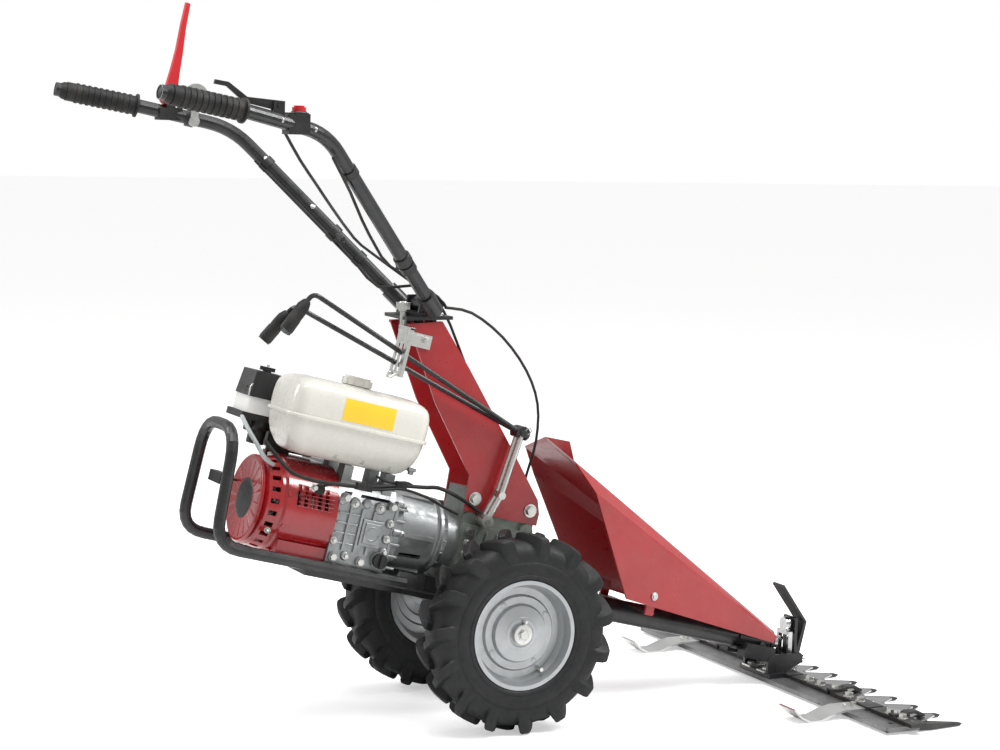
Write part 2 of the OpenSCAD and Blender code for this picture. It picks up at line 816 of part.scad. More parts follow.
module knife() {
  color(zinc) level() {
    box([784, -bar_l / 2 + 18, knife_z0], [802, bar_l / 2 - 18, knife_z1]);
    for (i = [-6 : 6]) translate([801, i * finger_pitch, knife_z0])
      linear_extrude(knife_z1 - knife_z0) polygon([[0, -37], [0, 37], [46, 7], [46, -7]]);
    // Fork that the drive lever moves
    box([785, -15, knife_z1 - 0.5], [799, 15, 27]);
    for (y = [-15, 9.6]) box([770, y, 24.8], [799, y + 5.4, 37]);
  }
}

clip_outline = [
  [744, 24.2], [776, 24.2], [784, 28], [800, 28], [812, 20.6], [820, 20.6], [820, 24],
  [804, 33], [782, 33], [772, 29], [744, 29]];

module knife_clips() {
  color(black) level() for (y = clip_y) translate([0, y, 0]) plate_xz(-11, 11, clip_outline);
}

module bar_bolts() {
  color(zinc) level() {
    for (y = guard_y) for (d = [-bolt_dy, bolt_dy])
      translate([bolt_x - 4, y + d, bar_z1 + 8.2]) hex_head(15, 9);
    for (y = clip_y) translate([757, y, 29.2]) hex_head(13, 7);
    for (y = skid_y) for (x = [712, 730]) translate([x, y, 20.4]) hex_head(12, 7);
    for (x = [708, 731]) for (y = [-31, 31]) translate([x, y, 26.2]) hex_head(15, 9);
  }
}

skid_y = [-339, 339];
skid_outline = [
  [741, 16.3], [741, 20.2], [690, 20.2], [660, 14], [632, 3.8], [606, 4], [586, 14], [568, 32],
  [565, 29], [583, 11], [604, 0], [634, 0], [664, 10], [692, 16.3]];

module skids() {
  color(zinc) level() for (y = skid_y) translate([0, y, 0]) plate_xz(-30, 30, skid_outline);
}

module bar_bracket() {
  color(black) {
    level() {
      box([698, -62, bar_z1 + 0.2], [741, 62, 26]);
      both_sides() plate_xz(44, 52, [[700, 24], [741, 24], [786, 44], [791, 60], [784, 66],
        [712, 66], [700, 60]]);
      difference() {
        union() {
          box([784, -50, 43], [791, 50, 60]);
          box([784, -24, 58], [791, 24, 138]);
        }
        along_x(760, 795, 7 + fit, 0, lever_z);
      }
    }
    pitched() difference() {
      union() {
        along_x(645, 700, 30, z = pto_z);
        both_sides() box([652, 20, pto_z - 40], [728, 51, pto_z - 8]);
      }
      along_x(640, 735, tube_r + fit, z = pto_z);
    }
  }
}

strap_outline = [
  [792.2, 40], [798, 40], [800, 60], [816, 128], [754, 214], [750, 210], [810, 128], [792.2, 70]];

module grass_divider() {
  color(black) level() {
    plate_xz(-22, 22, strap_outline);
    for (z = [64, 96]) along_x(796, 813, 6, 0, z, 6);
  }
}

module drive_lever() {
  color(steel) level() {
    difference() {
      union() {
        box([lever_x0, -24, 48], [lever_x1, 24, 108]);
        box([lever_x0, -12, 100], [lever_x1, 12, lever_z + 6]);
        along_x(lever_x0, lever_x1, 16, 0, lever_z);
        along_x(lever_x1 - 1, 790, 7, 0, lever_z);
        box([lever_x0, -6, 34], [lever_x1, 6, 50]);
        along_x(lever_x0, lever_x1 + 6, 7.5, 0, 32);
      }
      box([lever_x0 - 1, -17, 54], [lever_x1 + 1, 17, 100]);
    }
  }
}

// ---------- handlebar ----------

module turret() {
  z0 = head_z + 7.2;
  color(black) level() {
    difference() {
      translate([-135, 0, z0]) cylinder(r = 46, h = 7);
      for (a = [30 : 60 : 330]) translate([-135, 0, 800]) rotate([0, 0, a]) translate([38, 0, 0])
        cylinder(r = 3, h = 60, $fn = 24);
    }
    translate([-135, 0, 786]) cylinder(r = 10, h = z0 - 785);
    translate([-135, 0, 782]) hex_head(26, 8);
    both_sides() difference() {
      plate_xz(31, 37, [[-152, z0 + 6], [-104, z0 + 6], [-112, 862], [-144, 862]]);
      along_y(30, 38, 8 + fit, pivot[0], pivot[2]);
    }
  }
}

tube_dir = unit(tube_bend - tube_start);

module handle_yoke() {
  color(black) level() {
    along_y(-84, 84, 8, pivot[0], pivot[2]);
    along_y(-30.5, 30.5, 13.5, pivot[0], pivot[2]);
    both_sides() {
      along_y(37.6, 44, 14, pivot[0], pivot[2]);
      difference() {
        rod(tube_start - 14 * tube_dir, tube_start + 34 * tube_dir, handle_r + 4);
        rod(tube_start + 8.3 * tube_dir, tube_start + 60 * tube_dir, handle_r + fit);
      }
    }
  }
}

handle_route = [tube_start + 8.5 * tube_dir, tube_bend, grip_start, tube_end];

module handlebar(route) {
  tube_along(rounded(route, [50, 5], 6), handle_r, 16, 2);
}

module handlebar_left() {
  color(black) level() handlebar(handle_route);
}

module handlebar_right() {
  color(black) level() handlebar(mirror_y(handle_route));
}

// Shape turned about the grip's axis, outline in [radius, distance from the grip's start]
module turned_grip(points) {
  translate(grip_start) rotate([0, acos(grip_dir[2]), atan2(grip_dir[1], grip_dir[0])])
    rotate_extrude($fn = 40) polygon(points);
}

grip_bore = handle_r + fit;
grip_end = 153;
rib_at = [for (s = [20 : 12 : grip_end - 14]) s];

module grips() {
  color(black) level() both_sides() turned_grip(concat(
    [[grip_bore, 6], [grip_r + 5, 6], [grip_r + 5, 10], [grip_r, 11]],
    [for (s = rib_at) each [
      [grip_r, s], [grip_r + 1.6, s + 0.5], [grip_r + 1.6, s + 5.5], [grip_r, s + 6]]],
    [[grip_r, grip_end], [grip_bore, grip_end]]));
}

// ---------- controls ----------

arm_dir = unit(grip_start - tube_bend);

// Point on the upper arm of the left handlebar, s from the bend
function on_arm(s) = tube_bend + s * arm_dir;
function on_tube(s) = tube_start + s * tube_dir;

clutch_at = on_arm(131) + [0, 0, 32];
hand_at = mirror_y([on_arm(118)])[0] + [0, 0, 27];
throttle_at = on_arm(88) + [0, -24, -6];
switch_at = mirror_y([on_arm(71)])[0];
button_at = switch_at + [3, 0, 33];

// Ring that clamps round the handlebar between two points
module clamp(a, b, r) {
  difference() {
    rod(a, b, r);
    rod(a - (b - a), b + (b - a), handle_r + fit);
  }
}

module control_mounts() {
  color(black) level() {
    // Clutch lever block with two ears
    difference() {
      union() {
        box(clutch_at + [-24, -18, -46], clutch_at + [24, 18, -20.6]);
        for (y = [-18, 14.5]) box(clutch_at + [-9, y, -40], clutch_at + [9, y + 3.5, 9]);
      }
      rod(on_arm(60), on_arm(180), handle_r + fit);
      along_y(clutch_at[1] - 20, clutch_at[1] + 20, 4 + fit, clutch_at[0], clutch_at[2]);
    }
    // Throttle clamp with its boss
    clamp(on_arm(78), on_arm(96), handle_r + 4);
    difference() {
      along_y(throttle_at[1] - 2, throttle_at[1] + 12, 9, throttle_at[0], throttle_at[2]);
      rod(on_arm(60), on_arm(130), handle_r + fit);
      along_y(throttle_at[1] - 3, throttle_at[1] + 14, 4 + fit, throttle_at[0], throttle_at[2]);
    }
    // Hand lever bracket
    difference() {
      box(hand_at + [-11, -8, -22], hand_at + [11, 8, 8]);
      rod(mirror_y([on_arm(60)])[0], mirror_y([on_arm(180)])[0], handle_r + fit);
      box(hand_at + [-20, -3.5, -11], hand_at + [20, 3.5, 12]);
      along_y(hand_at[1] - 20, hand_at[1] + 20, 3.5 + fit, hand_at[0], hand_at[2]);
    }
    // Switch housing
    difference() {
      box(switch_at + [-23, -18, -16], switch_at + [19, 18, 22]);
      rod(mirror_y([on_arm(10)])[0], mirror_y([on_arm(150)])[0], handle_r + fit);
      translate([button_at[0], button_at[1], switch_at[2] + 15]) cylinder(r = 4 + fit, h = 20);
    }
    // Cable clamps lower on the tubes
    both_sides() for (s = [120, 390]) clamp(on_tube(s - 8), on_tube(s + 8), handle_r + 2.5);
  }
}

module clutch_lever() {
  color(red) level() {
    translate([clutch_at[0], 0, clutch_at[2]]) plate_xz(clutch_at[1] - 6, clutch_at[1] + 6, [
      [-13, 4], [16, 4], [20, 44], [27, 90], [33, 140], [42, 190], [34, 193], [24, 150],
      [14, 98], [4, 60]]);
    along_y(clutch_at[1] - 14, clutch_at[1] + 14, 17, clutch_at[0], clutch_at[2]);
    along_y(clutch_at[1] - 17.6, clutch_at[1] + 17.6, 4, clutch_at[0], clutch_at[2]);
  }
}

module hand_lever() {
  color(black) level() {
    translate([hand_at[0], 0, hand_at[2]]) plate_xz(hand_at[1] - 3, hand_at[1] + 3, [
      [10, -8], [10, 8], [-60, 14], [-96, 40], [-122, 44], [-124, 36], [-100, 32], [-66, 4],
      [-10, -8]]);
    along_y(hand_at[1] - 10, hand_at[1] + 10, 3.5, hand_at[0], hand_at[2]);
  }
}

module throttle_lever() {
  color(steel) level() {
    translate([throttle_at[0], 0, throttle_at[2]]) {
      plate_xz(throttle_at[1] - 7, throttle_at[1] - 2.4, [[-8, 0], [8, 0], [13, 52], [-5, 52]]);
      translate([4, throttle_at[1] - 7, 50]) rotate([90, 0, 0]) mirror([0, 0, 1]) intersection() {
        cylinder(r = 26, h = 4.6);
        box([-30, 0, -1], [30, 30, 6]);
      }
    }
    along_y(throttle_at[1] - 9, throttle_at[1] - 2.4, 11, throttle_at[0], throttle_at[2]);
    along_y(throttle_at[1] - 3, throttle_at[1] + 4, 4, throttle_at[0], throttle_at[2]);
  }
}

module stop_button() {
  color(red) level() translate(button_at) {
    translate([0, 0, -7]) cylinder(r = 13, h = 8);
    translate([0, 0, 1]) cylinder(r = 10, h = 3);
    translate([0, 0, -13.5]) cylinder(r = 4, h = 7.5);
  }
}

// ---------- cables ----------

cable_r = 3;

// From the column head, forward in a loop and back to the top of the gearbox
lower_route_a = [
  [-80, -8, 838], [-20, -10, 826], [48, -16, 776], [102, -22, 706], [128, -26, 636],
  [127, -26, 560], [110, -22, 492], [99, -16, 442]];
// Down inside the column
lower_route_b = [
  [-80, 12, 838], [-58, 12, 800], [-10, 12, 690], [30, 10, 600], [66, 8, 520], [82, 6, 446]];
upper_route_long = [
  [-525, -246, 1189], [-478, -205, 1138], [-419, -140, 1091], [-353, -60, 1042],
  [-251, 70, 975], [-211, 70, 944], [-128, 20, 878], [-110, -2, 866]];
upper_route_right = [
  [-435, -262, 1145], [-380, -216, 1080], [-335, -170, 1024], [-275, -100, 968],
  [-222, -50, 926], [-128, -26, 878], [-110, -16, 866]];
upper_route_left = concat(
  [for (s = [425 : -60 : 65]) on_tube(s) + [-6.1, -17.2, -17.2]],
  [[-138, 34, 880], [-110, 14, 866]]);

module lower_cables() {
  color(black) level() {
    tube_along(spline(lower_route_a, 3), cable_r, 8);
    tube_along(spline(lower_route_b, 2), cable_r, 8);
  }
}

module upper_cables() {
  color(black) level() {
    tube_along(spline(upper_route_long, 2), cable_r, 8);
    tube_along(spline(upper_route_right, 2), cable_r, 8);
    tube_along(spline(upper_route_left, 2), cable_r, 8);
  }
}

gearbox_case();
gearbox_cover();
axle_housings();
clutch_housing();
crankcase();
cylinder_head();
fan_cover();
starter_cover();
fuel_tank();
air_cleaner();
air_cleaner_cover();
carburetor();
muffler();
spark_plug();
engine_plate();
bumper();
column_plate_right();
column_plate_left();
column_head();
frame_bolts();
drive_tube();
hood_right();
hood_left();
gate_bracket();
lower_cables();
axle_shaft();
worm_wheel();
rims();
tyres();
wheel_pins();
crankshaft();
flywheel();
drive_shaft();
bar_bracket();
cutter_bar();
guard_fingers();
knife_clips();
skids();
bar_bolts();
grass_divider();
knife();
drive_lever();
turret();
handle_yoke();
handlebar_left();
handlebar_right();
grips();
control_mounts();
upper_cables();
clutch_lever();
hand_lever();
throttle_lever();
stop_button();
gear_rod_right();
gear_rod_left();
selector_right();
selector_left();
fuel_cap();
oil_plug();
starter_handle();
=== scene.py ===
import math

import bmesh
import bpy
from mathutils import Matrix, Vector


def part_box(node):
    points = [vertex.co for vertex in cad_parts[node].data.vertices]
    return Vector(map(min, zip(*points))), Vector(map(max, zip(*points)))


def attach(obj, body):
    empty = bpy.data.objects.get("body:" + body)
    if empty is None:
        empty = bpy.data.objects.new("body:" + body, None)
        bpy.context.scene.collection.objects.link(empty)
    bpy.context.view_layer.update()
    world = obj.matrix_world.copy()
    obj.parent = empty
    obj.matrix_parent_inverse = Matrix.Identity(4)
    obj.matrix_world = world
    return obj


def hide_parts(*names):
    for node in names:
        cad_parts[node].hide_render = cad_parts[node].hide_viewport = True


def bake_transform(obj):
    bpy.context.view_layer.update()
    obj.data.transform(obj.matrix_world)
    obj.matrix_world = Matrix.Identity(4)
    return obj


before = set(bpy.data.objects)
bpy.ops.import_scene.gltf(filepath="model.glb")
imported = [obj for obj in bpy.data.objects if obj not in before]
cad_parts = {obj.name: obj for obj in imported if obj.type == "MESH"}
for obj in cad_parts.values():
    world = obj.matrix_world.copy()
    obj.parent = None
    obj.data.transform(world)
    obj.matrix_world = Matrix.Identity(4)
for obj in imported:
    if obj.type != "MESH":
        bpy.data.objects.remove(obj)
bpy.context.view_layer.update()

# ---------- the machine's two frames, in millimetres ----------
# LEVEL is square to the ground, with its origin on the ground under the axle.
# BODY is square to the nose-down engine and gearbox, with its origin on the axle.

BAR_REAR = 0.696                  # rear edge of the cutter bar, ahead of the axle, in metres
AXLE_HEIGHT = 0.203
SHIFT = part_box("cutter_bar")[0][0] - BAR_REAR
PITCH = math.radians(13.8)
MM = Matrix.Scale(0.001, 4)
LEVEL = Matrix.Translation((SHIFT, 0, 0)) @ MM
BODY = Matrix.Translation((SHIFT, 0, AXLE_HEIGHT)) @ Matrix.Rotation(PITCH, 4, "Y") @ MM


def hull_box(node, into):
    """Box of a CAD node in one of the two frames."""
    inv = into.inverted()
    pts = [inv @ v.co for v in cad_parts[node].data.vertices]
    lo = Vector([min(p[i] for p in pts) for i in range(3)])
    hi = Vector([max(p[i] for p in pts) for i in range(3)])
    return lo, hi


# ---------- materials ----------

def node_tree(name):
    m = bpy.data.materials.new(name)
    m.use_nodes = True
    t = m.node_tree
    t.nodes.clear()
    out = t.nodes.new("ShaderNodeOutputMaterial")
    bsdf = t.nodes.new("ShaderNodeBsdfPrincipled")
    t.links.new(bsdf.outputs[0], out.inputs[0])
    return m, t, bsdf


def noise(t, coord, scale, detail=4.0, rough=0.55, stretch=None):
    n = t.nodes.new("ShaderNodeTexNoise")
    n.inputs["Scale"].default_value = scale
    n.inputs["Detail"].default_value = detail
    n.inputs["Roughness"].default_value = rough
    if stretch:
        mp = t.nodes.new("ShaderNodeMapping")
        mp.inputs["Scale"].default_value = stretch
        t.links.new(coord, mp.inputs["Vector"])
        coord = mp.outputs[0]
    t.links.new(coord, n.inputs["Vector"])
    return n.outputs["Fac"]


def ramp(t, value, stops):
    r = t.nodes.new("ShaderNodeValToRGB")
    e = r.color_ramp.elements
    e[0].position, e[0].color = stops[0][0], (*stops[0][1], 1)
    e[1].position, e[1].color = stops[-1][0], (*stops[-1][1], 1)
    for p, c in stops[1:-1]:
        k = e.new(p)
        k.color = (*c, 1)
    t.links.new(value, r.inputs[0])
    return r.outputs[0]


def remap(t, value, lo, hi, a=0.0, b=1.0):
    m = t.nodes.new("ShaderNodeMapRange")
    m.inputs["From Min"].default_value = lo
    m.inputs["From Max"].default_value = hi
    m.inputs["To Min"].default_value = a
    m.inputs["To Max"].default_value = b
    t.links.new(value, m.inputs["Value"])
    return m.outputs[0]


def mix(t, fac, a, b):
    m = t.nodes.new("ShaderNodeMix")
    m.data_type = "RGBA"
    t.links.new(fac, m.inputs[0])
    for sock, v in ((m.inputs[6], a), (m.inputs[7], b)):
        if isinstance(v, tuple):
            sock.default_value = (*v, 1)
        else:
            t.links.new(v, sock)
    return m.outputs[2]


def surface(name, color, rough=0.5, metal=0.0, vary=0.12, spread=0.08, grain=900.0, bump=0.15,
            dust=0.0, dust_color=(0.35, 0.32, 0.27), coat=0.0, specular=0.5, stretch=None,
            scratch=0.0, depth=0.0003, wear=None):
    """Mottled colour, uneven gloss and fine grain, with dust, wear and scratches where asked for."""
    m, t, b = node_tree(name)
    coord = t.nodes.new("ShaderNodeTexCoord").outputs["Object"]
    big = noise(t, coord, 9.0, 5)
    mid = noise(t, coord, 70.0, 5)
    fine = noise(t, coord, grain, 3, stretch=stretch)
    dark = tuple(c * (1 - vary) for c in color)
    light = tuple(min(1.0, c * (1 + vary)) for c in color)
    col = ramp(t, big, [(0.3, dark), (0.5, color), (0.72, light)])
    speck = remap(t, mid, 0.35, 0.75, 0.0, 0.35)
    col = mix(t, speck, col, tuple(c * (1 - 1.4 * vary) for c in color))
    if wear:
        w = remap(t, noise(t, coord, 45.0, 8, 0.7), 0.60, 0.68)
        col = mix(t, w, col, wear)
    if dust:
        d = remap(t, noise(t, coord, 24.0, 8, 0.7), 0.42, 0.8, 0.0, dust)
        col = mix(t, d, col, dust_color)
    t.links.new(col, b.inputs["Base Color"])
    t.links.new(remap(t, mid, 0.3, 0.7, max(0.02, rough - spread), min(1.0, rough + spread)),
                b.inputs["Roughness"])
    b.inputs["Metallic"].default_value = metal
    b.inputs["Specular IOR Level"].default_value = specular
    if coat:
        b.inputs["Coat Weight"].default_value = coat
        b.inputs["Coat Roughness"].default_value = 0.12
    height = fine
    if scratch:
        s = noise(t, coord, 60.0, 6, 0.6, stretch=(1.0, 14.0, 14.0))
        add = t.nodes.new("ShaderNodeMath")
        add.operation = "MULTIPLY_ADD"
        t.links.new(s, add.inputs[0])
        add.inputs[1].default_value = scratch
        t.links.new(fine, add.inputs[2])
        height = add.outputs[0]
    bp = t.nodes.new("ShaderNodeBump")
    bp.inputs["Strength"].default_value = bump
    bp.inputs["Distance"].default_value = depth
    t.links.new(height, bp.inputs["Height"])
    t.links.new(bp.outputs[0], b.inputs["Normal"])
    return m


RED = surface("red_powder_coat", (0.34, 0.010, 0.014), 0.34, vary=0.10, bump=0.10, grain=1400,
              coat=0.35, dust=0.05)
RED_DEEP = surface("red_gloss", (0.30, 0.004, 0.008), 0.24, vary=0.10, bump=0.05, grain=900,
                   coat=0.6, dust=0.04)
RED_PLASTIC = surface("red_plastic", (0.50, 0.010, 0.016), 0.42, vary=0.10, bump=0.10, grain=1500)
BLACK = surface("black_satin", (0.007, 0.0075, 0.009), 0.34, vary=0.25, bump=0.12, grain=1400,
                coat=0.15, dust=0.06)
BLACK_BAR = surface("black_scuffed", (0.016, 0.016, 0.017), 0.40, vary=0.3, bump=0.25, grain=700,
                    dust=0.12, scratch=0.6, wear=(0.10, 0.10, 0.10))
PLASTIC = surface("black_plastic", (0.009, 0.009, 0.010), 0.46, vary=0.25, bump=0.2, grain=1600,
                  dust=0.05)
RUBBER = surface("black_rubber", (0.007, 0.007, 0.0075), 0.60, vary=0.3, bump=0.35, grain=1100,
                 dust=0.10, specular=0.35)
TYRE = surface("tyre_rubber", (0.006, 0.0065, 0.007), 0.58, vary=0.3, bump=0.35, grain=800, dust=0.10,
               dust_color=(0.10, 0.10, 0.10), specular=0.4)
CAST = surface("cast_aluminium", (0.33, 0.345, 0.345), 0.40, metal=0.75, vary=0.16, spread=0.12,
               bump=0.55, grain=420, dust=0.2, dust_color=(0.14, 0.14, 0.13), depth=0.0005)
GEARBOX = surface("gearbox_casting", (0.20, 0.22, 0.195), 0.45, metal=0.45, vary=0.22, bump=0.6,
                  grain=380, dust=0.25, dust_color=(0.10, 0.10, 0.09), depth=0.0005)
ZINC = surface("zinc_plate", (0.62, 0.62, 0.59), 0.30, metal=0.95, vary=0.12, bump=0.15, grain=900, dust=0.08)
SKID = surface("galvanised", (0.66, 0.67, 0.66), 0.34, metal=0.85, vary=0.14, bump=0.3, grain=260,
               scratch=0.8, dust=0.12)
STEEL = surface("ground_steel", (0.52, 0.52, 0.52), 0.24, metal=1.0, vary=0.12, bump=0.15, grain=500,
                stretch=(1.0, 8.0, 1.0), scratch=0.4)
BAR_STEEL = surface("bar_steel", (0.20, 0.20, 0.205), 0.36, metal=0.7, vary=0.3, bump=0.3, grain=500,
                    scratch=0.8, wear=(0.03, 0.03, 0.03), dust=0.1)
BRONZE = surface("bronze", (0.50, 0.33, 0.13), 0.35, metal=0.9, vary=0.1)
SILVER = surface("silver_rim", (0.42, 0.435, 0.445), 0.36, metal=0.75, vary=0.08, bump=0.22,
                 grain=900, dust=0.12)
CREAM = surface("cream_paint", (0.66, 0.645, 0.585), 0.30, vary=0.05, bump=0.05, grain=1100,
                coat=0.5, dust=0.05)
WHITE = surface("white_plastic", (0.80, 0.80, 0.78), 0.40, vary=0.04, bump=0.08, grain=1200, dust=0.10)
GUARD = surface("muffler_guard", (0.30, 0.30, 0.29), 0.40, metal=0.8, vary=0.2, bump=0.3, grain=500, dust=0.2)
YELLOW = surface("yellow_label", (0.90, 0.56, 0.03), 0.34, vary=0.05, bump=0.04, grain=1500, dust=0.05)
HOSE = surface("grey_hose", (0.42, 0.46, 0.46), 0.35, vary=0.15, bump=0.1, grain=900)

# Which CAD nodes wear which material
NODE_LOOK = {
    RED: "column_plate_right column_plate_left hood_right hood_left",
    RED_DEEP: "fan_cover starter_cover",
    RED_PLASTIC: "clutch_lever stop_button",
    BLACK: "engine_plate bumper column_head turret handle_yoke handlebar_left handlebar_right drive_tube "
           "bar_bracket gear_rod_right gear_rod_left",
    BLACK_BAR: "guard_fingers knife_clips grass_divider",
    BAR_STEEL: "cutter_bar",
    PLASTIC: "air_cleaner_cover carburetor spark_plug oil_plug starter_handle control_mounts hand_lever",
    RUBBER: "grips lower_cables upper_cables",
    TYRE: "tyres",
    CAST: "clutch_housing crankcase cylinder_head",
    GEARBOX: "gearbox_case gearbox_cover axle_housings",
    ZINC: "frame_bolts wheel_pins bar_bolts gate_bracket throttle_lever selector_right selector_left",
    SKID: "skids",
    STEEL: "axle_shaft crankshaft flywheel drive_shaft drive_lever knife",
    BRONZE: "worm_wheel",
    SILVER: "rims",
    CREAM: "fuel_tank fuel_cap",
    WHITE: "air_cleaner",
    GUARD: "muffler",
}
# Edge rounding of the CAD nodes, in millimetres
BEVEL = {"guard_fingers": 0.9, "knife": 0.3, "knife_clips": 0.9, "gearbox_case": 3.0, "gearbox_cover": 2.5,
         "crankcase": 3.0, "cylinder_head": 0.8, "fan_cover": 2.0, "starter_cover": 1.2, "clutch_housing": 1.6,
         "hood_right": 1.2, "hood_left": 1.2, "column_plate_right": 1.2, "column_plate_left": 1.2,
         "carburetor": 3.0, "muffler": 2.0, "air_cleaner": 1.5, "air_cleaner_cover": 3.0, "starter_handle": 3.0,
         "control_mounts": 1.5, "hand_lever": 1.2, "clutch_lever": 2.2, "stop_button": 1.5, "engine_plate": 1.2,
         "bar_bracket": 1.2, "drive_tube": 1.0, "turret": 0.9, "column_head": 1.0, "cutter_bar": 0.8,
         "skids": 0.8, "grass_divider": 0.9, "drive_lever": 0.8, "oil_plug": 1.2, "fuel_cap": 1.6,
         "handle_yoke": 1.0, "throttle_lever": 0.8, "gate_bracket": 0.8, "selector_right": 0.8,
         "selector_left": 0.8, "rims": 0.7, "frame_bolts": 0.6, "bar_bolts": 0.6, "spark_plug": 0.8}


def soften(o, width, angle=32):
    """Smooth faces with sharp edges kept, and a small bevel on those edges."""
    me = o.data
    me.polygons.foreach_set("use_smooth", [True] * len(me.polygons))
    me.set_sharp_from_angle(angle=math.radians(angle))
    if width:
        b = o.modifiers.new("edges", "BEVEL")
        b.width = width
        b.segments = 2
        b.limit_method = "ANGLE"
        b.angle_limit = math.radians(angle)
        b.harden_normals = True
        b.use_clamp_overlap = True


for material, names in NODE_LOOK.items():
    for name in names.split():
        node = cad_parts[name]
        node.data.materials.clear()
        node.data.materials.append(material)
        soften(node, BEVEL.get(name, 0) / 1000)


# ---------- shapes ----------

BOX_FACES = [(0, 1, 3, 2), (4, 6, 7, 5), (0, 4, 5, 1), (2, 3, 7, 6), (0, 2, 6, 4), (1, 5, 7, 3)]


class Shape:
    """Mesh built in millimetres in one of the two frames."""

    def __init__(self, into=BODY):
        self.into = into
        self.v = []
        self.f = []

    def add(self, points, faces):
        n = len(self.v)
        self.v += [Vector(p) for p in points]
        self.f += [[n + i for i in f] for f in faces]
        return self

    def box(self, lo, hi):
        p = [(x, y, z) for x in (lo[0], hi[0]) for y in (lo[1], hi[1]) for z in (lo[2], hi[2])]
        return self.add(p, BOX_FACES)

    def turn(self, at, along, outline, n=40):
        """Outline of (distance along the axis, radius), turned about the axis."""
        at, d = Vector(at), Vector(along).normalized()
        a = d.orthogonal().normalized()
        b = d.cross(a)
        p = []
        for s, r in outline:
            for k in range(n):
                q = 2 * math.pi * k / n
                p.append(at + d * s + (a * math.cos(q) + b * math.sin(q)) * max(r, 0.01))
        f = []
        for i in range(len(outline) - 1):
            for k in range(n):
                m = (k + 1) % n
                f.append((i * n + k, (i + 1) * n + k, (i + 1) * n + m, i * n + m)[::-1])
        f.append(list(range(n))[::-1])
        f.append([(len(outline) - 1) * n + k for k in range(n)])
        return self.add(p, f)

    def cyl(self, a, b, r, n=28):
        a, b = Vector(a), Vector(b)
        h = (b - a).length
        c = min(0.8, r * 0.2)
        return self.turn(a, b - a, [(0, r - c), (c, r), (h - c, r), (h, r - c)], n)

    def hexagon(self, at, along, across, h, washer=0.0):
        at, d = Vector(at), Vector(along).normalized()
        if washer:
            self.turn(at, d, [(0, washer - 0.4), (0.4, washer), (1.6, washer), (2.0, washer - 0.4)], 28)
            at = at + d * 1.9
        r = across / 2 / math.cos(math.pi / 6)
        return self.turn(at, d, [(0, r), (h - 1.2, r), (h, r * 0.86)], 6)

    def tube(self, points, r, n=10):
        """Round rod along a line of points."""
        p = [Vector(q) for q in points]
        rings = []
        t = (p[1] - p[0]).normalized()
        a = t.orthogonal().normalized()
        for i, q in enumerate(p):
            t = (p[min(i + 1, len(p) - 1)] - p[max(i - 1, 0)]).normalized()
            a = (a - t * a.dot(t)).normalized()
            b = t.cross(a)
            for k in range(n):
                turn = 2 * math.pi * k / n
                rings.append(q + (a * math.cos(turn) + b * math.sin(turn)) * r)
        f = [(i * n + k, i * n + (k + 1) % n, (i + 1) * n + (k + 1) % n, (i + 1) * n + k)
             for i in range(len(p) - 1) for k in range(n)]
        f.append(list(range(n))[::-1])
        f.append([(len(p) - 1) * n + k for k in range(n)])
        return self.add(rings, f)

    def mesh(self, name, material, bevel, angle):
        """Finished object in the scene, not yet tied to a body."""
        me = bpy.data.meshes.new(name)
        me.from_pydata([self.into @ v for v in self.v], [], self.f)
        me.validate()
        o = bpy.data.objects.new(name, me)
        bpy.context.scene.collection.objects.link(o)
        me.materials.append(material)
        face_outwards(me)
        soften(o, bevel / 1000, angle)
        return o

    def make(self, name, material, body, bevel=0.6, angle=32, stands_for=None):
        o = self.mesh(name, material, bevel, angle)
        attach(o, body)
        if stands_for:
            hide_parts(*stands_for)


def face_outwards(me):
    b = bmesh.new()
    b.from_mesh(me)
    bmesh.ops.recalc_face_normals(b, faces=b.faces)
    b.to_mesh(me)
    b.free()


def spline(points, steps=6):
    """Smooth line through all the points."""
    p = [Vector(q) for q in points]
    out = []
    for i in range(len(p) - 1):
        a, b, c, d = p[max(i - 1, 0)], p[i], p[i + 1], p[min(i + 2, len(p) - 1)]
        for k in range(steps):
            u = k / steps
            out.append(0.5 * (2 * b + (c - a) * u + (2 * a - 5 * b + 4 * c - d) * u * u
                              + (3 * b - a - 3 * c + d) * u ** 3))
    return out + [p[-1]]


# ---------- tyres ----------

TYRE_Y = 207.0                    # middle of a tyre, from the machine's middle
LUGS = 15                         # on each half of a tyre


